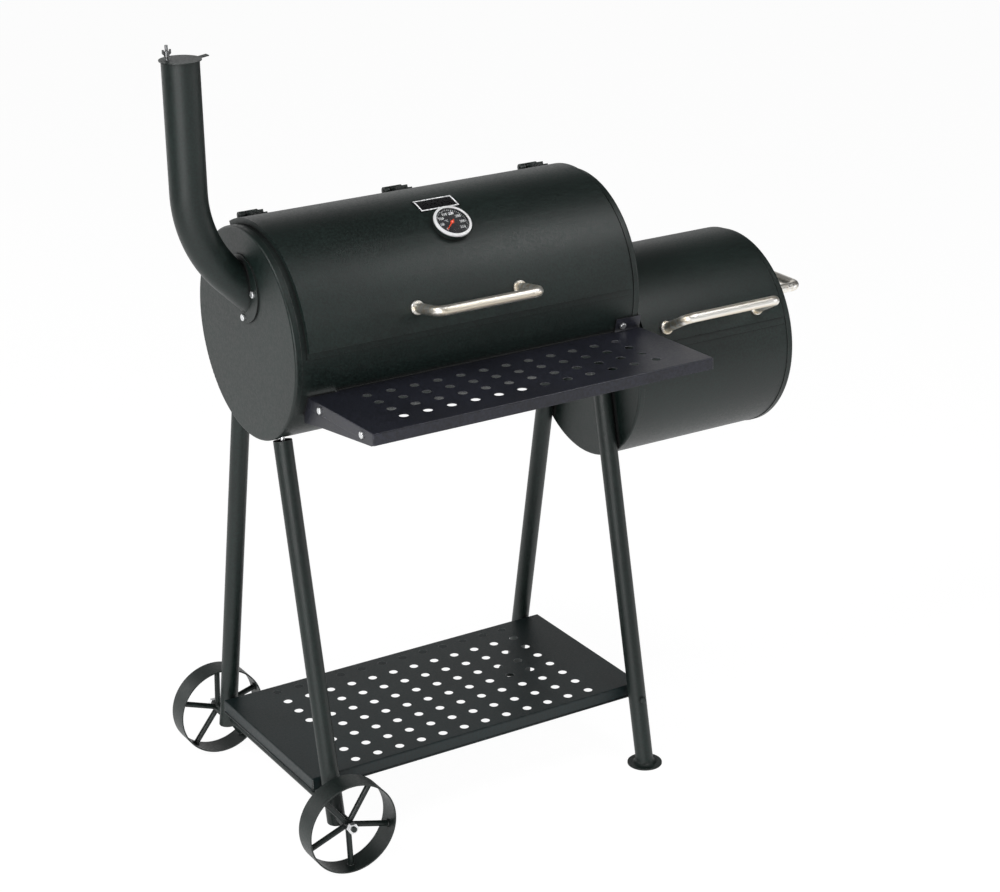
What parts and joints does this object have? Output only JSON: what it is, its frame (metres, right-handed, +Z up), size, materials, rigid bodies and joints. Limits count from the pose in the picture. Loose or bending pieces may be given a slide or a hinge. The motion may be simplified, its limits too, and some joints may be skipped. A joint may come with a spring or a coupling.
{
  "type": "offset smoker",
  "caption": "Offset barrel smoker: lidded cooking barrel with side firebox, bent chimney, front shelf and a leaning-leg stand with wheels and a perforated lower shelf.",
  "frame": {"origin": "on the floor, at the middle of the whole object's footprint box", "axes": "+X along the barrel from the chimney to the firebox, +Y from the front shelf to the back, +Z up"},
  "size_m": [1.1955, 0.6682, 1.3738],
  "materials": {
    "black_paint": "satin black heat-resistant paint",
    "stainless": "polished stainless tube",
    "zinc": "bright zinc plating",
    "bezel_chrome": "polished",
    "dial_face": "matt black print with white marks",
    "needle_paint": "orange-red",
    "lens_glass": "clear",
    "plate_enamel": "black enamel with a pale border, blank",
    "plated_wire": "chrome-plated wire",
    "raw_steel": "dark raw steel"
  },
  "bodies": {
    "stand": {"barrel_shell": "black_paint", "barrel_left_cap": "black_paint", "barrel_right_cap": "black_paint", "firebox_shell": "black_paint", "firebox_left_cap": "black_paint", "firebox_right_cap": "black_paint", "shell_bolts": "zinc", "barrel_hinge_leaves": "black_paint", "main_hinge_pins": "black_paint", "firebox_hinge_leaves": "black_paint", "firebox_hinge_pins": "black_paint", "carry_handle": "stainless", "carry_handle_screws": "zinc", "chimney_pipe": "black_paint", "chimney_flange": "black_paint", "damper_pivot_bolt": "zinc", "damper_wing_nut": "zinc", "front_shelf": "black_paint", "shelf_bracket_left": "black_paint", "shelf_bracket_right": "black_paint", "front_shelf_bolts": "zinc", "leg_front_left": "black_paint", "leg_rear_left": "black_paint", "leg_front_right": "black_paint", "leg_rear_right": "black_paint", "leg_plugs": "black_paint", "leg_bolts": "zinc", "foot_discs": "black_paint", "lower_shelf": "black_paint", "lower_shelf_spacers": "black_paint", "lower_shelf_bolts": "black_paint", "axle_rod": "black_paint", "axle_nuts": "zinc", "cooking_grate_left": "plated_wire", "cooking_grate_right": "plated_wire", "grate_rails": "black_paint", "charcoal_grate": "raw_steel", "air_damper_rivet": "zinc"},
    "main_lid": {"main_lid": "black_paint", "main_lid_handle": "stainless", "main_lid_handle_screws": "zinc", "main_lid_hinge_leaves": "black_paint", "thermometer_case": "black_paint", "thermometer_bezel": "bezel_chrome", "thermometer_dial": "dial_face", "thermometer_lens": "lens_glass", "thermometer_stem": "zinc", "thermometer_nut": "zinc", "blank_plate": "plate_enamel"},
    "needle": {"thermometer_needle": "needle_paint"},
    "firebox_lid": {"firebox_lid": "black_paint", "firebox_lid_handle": "stainless", "firebox_lid_handle_screws": "zinc", "firebox_lid_hinge_leaves": "black_paint"},
    "damper": {"damper_cap": "black_paint"},
    "front_wheel": {"front_wheel_rim": "black_paint", "front_wheel_spider": "black_paint"},
    "rear_wheel": {"rear_wheel_rim": "black_paint", "rear_wheel_spider": "black_paint"},
    "air_damper": {"air_damper": "black_paint"}
  },
  "joints": [
    {"name": "main_lid_hinge", "type": "hinge", "parent": "stand", "child": "main_lid", "pos_m": [-0.14775, 0.15947, 1.05034], "axis": [-1, 0, 0], "range_deg": [0, 105]},
    {"name": "firebox_lid_hinge", "type": "hinge", "parent": "stand", "child": "firebox_lid", "pos_m": [0.35225, 0.1986, 0.84494], "axis": [-1, 0, 0], "range_deg": [0, 95]},
    {"name": "needle_turn", "type": "hinge", "parent": "main_lid", "child": "needle", "pos_m": [-0.14625, -0.05305, 1.03817], "axis": [0, 0.5664, -0.8241], "range_deg": [0, 264]},
    {"name": "damper_swing", "type": "hinge", "parent": "stand", "child": "damper", "pos_m": [-0.58575, 0.05428, 1.3473], "axis": [0, 0, 1], "range_deg": [0, 120]},
    {"name": "front_wheel_spin", "type": "hinge", "parent": "stand", "child": "front_wheel", "pos_m": [-0.45875, -0.20105, 0.0815], "axis": [0, 1, 0], "continuous": true},
    {"name": "rear_wheel_spin", "type": "hinge", "parent": "stand", "child": "rear_wheel", "pos_m": [-0.45875, 0.30962, 0.0815], "axis": [0, 1, 0], "continuous": true},
    {"name": "air_damper_turn", "type": "hinge", "parent": "stand", "child": "air_damper", "pos_m": [0.51725, 0.05428, 0.635], "axis": [1, 0, 0], "range_deg": [0, 45]}
  ]
}
